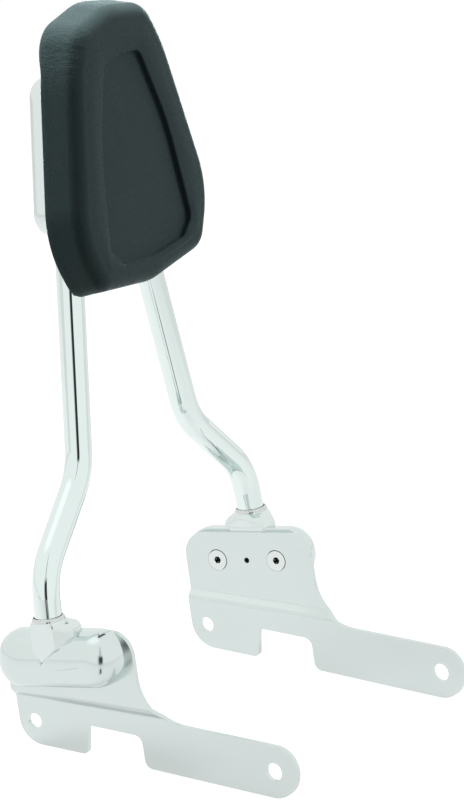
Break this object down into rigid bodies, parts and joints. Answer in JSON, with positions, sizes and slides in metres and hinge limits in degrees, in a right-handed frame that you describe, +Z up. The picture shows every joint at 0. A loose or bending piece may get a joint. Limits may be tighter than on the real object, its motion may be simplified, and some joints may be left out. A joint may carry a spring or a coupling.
{
  "type": "motorcycle_sissy_bar",
  "caption": "Motorcycle sissy bar: a chromed bent tube hoop with a grained backrest pad, on joggled side plates with domed foot covers",
  "frame": {"origin": "Midway between the two rear mounting holes, on their common axis.", "axes": "+X is lateral, towards the rider's left; -Y is forward, the way the pad faces; +Z is up."},
  "size_m": [0.304, 0.2709, 0.5208],
  "materials": {
    "tube_chrome": "mirror polished",
    "plate_chrome": "polished sheet, slightly soft reflections",
    "cover_chrome": "mirror polished shell",
    "weld_bead": "uneven plated bead",
    "screw_steel": "machined, satin",
    "cushion_cover": "fine grain, low sheen",
    "moulded_board": "moulded, matt"
  },
  "bodies": {
    "root": {"back_cover": "cover_chrome", "hoop_tube": "tube_chrome", "left_cover_screw": "screw_steel", "left_foot_cover": "cover_chrome", "left_foot_lug": "tube_chrome", "left_foot_weld": "weld_bead", "left_front_foot_screw": "screw_steel", "left_rear_foot_screw": "screw_steel", "left_side_plate": "plate_chrome", "lower_pad_bolt": "screw_steel", "lower_pad_bracket": "tube_chrome", "pad_board": "moulded_board", "pad_cushion": "cushion_cover", "right_cover_screw": "screw_steel", "right_foot_cover": "cover_chrome", "right_foot_lug": "tube_chrome", "right_foot_weld": "weld_bead", "right_front_foot_screw": "screw_steel", "right_rear_foot_screw": "screw_steel", "right_side_plate": "plate_chrome", "upper_pad_bolt": "screw_steel", "upper_pad_bracket": "tube_chrome"}
  },
  "joints": []
}
